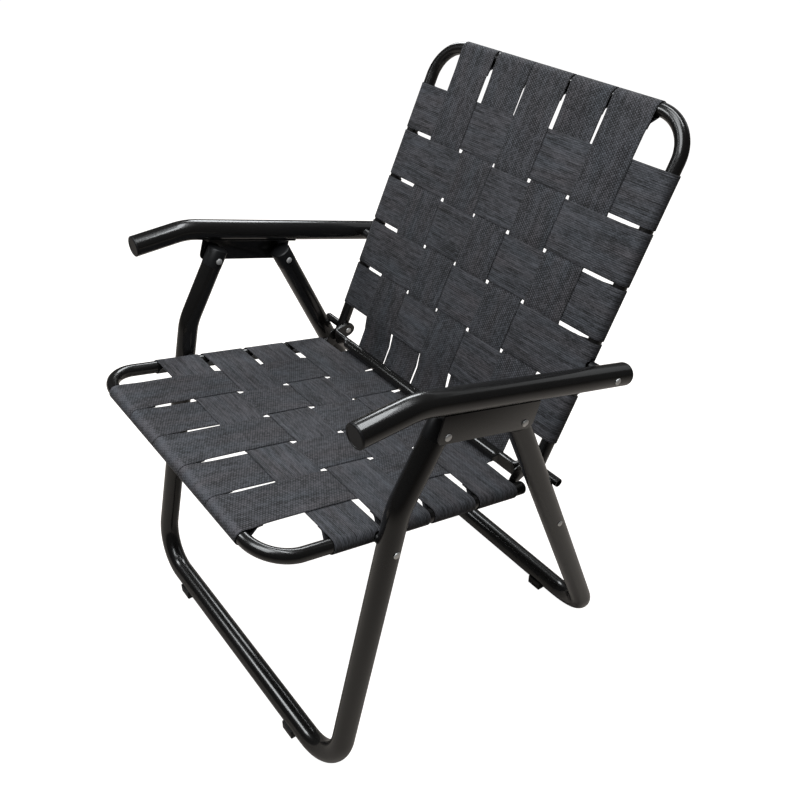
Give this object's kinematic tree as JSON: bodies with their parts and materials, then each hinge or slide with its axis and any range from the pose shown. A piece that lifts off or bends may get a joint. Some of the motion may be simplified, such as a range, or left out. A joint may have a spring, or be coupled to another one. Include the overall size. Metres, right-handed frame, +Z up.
{
  "type": "folding webbed lawn chair",
  "caption": "Folding lawn chair with a black tube frame, rounded tube arms and a woven charcoal webbing seat and back on a riveted parallelogram linkage.",
  "frame": {"origin": "middle of the open chair's bounding box, on the floor", "axes": "+Z up, the sitter faces -Y, +X is the sitter's left"},
  "size_m": [0.5814, 0.6604, 0.8702],
  "materials": {
    "frame_paint": "satin black powder coat on steel tube",
    "black_plastic": "moulded black plastic",
    "rivet_metal": "plain rivet heads",
    "webbing": "woven charcoal webbing"
  },
  "bodies": {
    "front_legs": {"front_leg_frame": "frame_paint", "front_leg_cap_left": "black_plastic", "front_leg_cap_right": "black_plastic", "front_foot_left": "black_plastic", "front_foot_right": "black_plastic", "seat_pivot_rivet_left": "rivet_metal", "seat_pivot_rivet_right": "rivet_metal", "seat_pivot_spacer_left": "black_plastic", "seat_pivot_spacer_right": "black_plastic"},
    "arms": {"arm_tube_left": "frame_paint", "arm_tube_right": "frame_paint", "arm_front_cap_left": "black_plastic", "arm_front_cap_right": "black_plastic", "arm_rear_plug_left": "black_plastic", "arm_rear_plug_right": "black_plastic", "arm_bracket_left": "frame_paint", "arm_bracket_right": "frame_paint", "front_leg_rivet_left": "rivet_metal", "front_leg_rivet_right": "rivet_metal", "rear_leg_rivet_left": "rivet_metal", "rear_leg_rivet_right": "rivet_metal", "arm_pivot_rivet_left": "rivet_metal", "arm_pivot_rivet_right": "rivet_metal", "arm_pivot_spacer_left": "black_plastic", "arm_pivot_spacer_right": "black_plastic"},
    "seat": {"seat_frame": "frame_paint", "seat_rail_cap_left": "black_plastic", "seat_rail_cap_right": "black_plastic", "hinge_plate_left": "frame_paint", "hinge_plate_right": "frame_paint", "cross_bar": "frame_paint", "stop_sleeve_left": "frame_paint", "stop_sleeve_right": "frame_paint", "hinge_rivet_left": "rivet_metal", "hinge_rivet_right": "rivet_metal", "seat_strap_long_1": "webbing", "seat_strap_long_2": "webbing", "seat_strap_long_3": "webbing", "seat_strap_long_4": "webbing", "seat_strap_long_5": "webbing", "seat_strap_cross_1": "webbing", "seat_strap_cross_2": "webbing", "seat_strap_cross_3": "webbing", "seat_strap_cross_4": "webbing"},
    "back": {"back_frame": "frame_paint", "back_strap_long_1": "webbing", "back_strap_long_2": "webbing", "back_strap_long_3": "webbing", "back_strap_long_4": "webbing", "back_strap_long_5": "webbing", "back_strap_cross_1": "webbing", "back_strap_cross_2": "webbing", "back_strap_cross_3": "webbing", "back_strap_cross_4": "webbing", "back_strap_cross_5": "webbing"},
    "rear_legs": {"rear_leg_frame": "frame_paint", "rear_leg_cap_left": "black_plastic", "rear_leg_cap_right": "black_plastic", "rear_foot_left": "black_plastic", "rear_foot_right": "black_plastic"}
  },
  "joints": [
    {"name": "fold", "type": "hinge", "parent": "front_legs", "child": "arms", "pos_m": [0, -0.10078, 0.57856], "axis": [-1, 0, 0], "range_deg": [0, 80]},
    {"name": "seat_fold", "type": "hinge", "parent": "front_legs", "child": "seat", "pos_m": [0, -0.1628, 0.4235], "axis": [-1, 0, 0], "range_deg": [0, 80]},
    {"name": "back_fold", "type": "hinge", "parent": "arms", "child": "back", "pos_m": [0, 0.19406, 0.54654], "axis": [1, 0, 0], "range_deg": [0, 80]},
    {"name": "rear_leg_fold", "type": "hinge", "parent": "arms", "child": "rear_legs", "pos_m": [0, 0.02977, 0.54419], "axis": [1, 0, 0], "range_deg": [0, 43.2]}
  ],
  "couplings": [
    {"joint": "seat_fold", "follows": "fold", "ratio": 1},
    {"joint": "back_fold", "follows": "fold", "ratio": 1},
    {"joint": "rear_leg_fold", "follows": "fold", "ratio": 0.54}
  ]
}
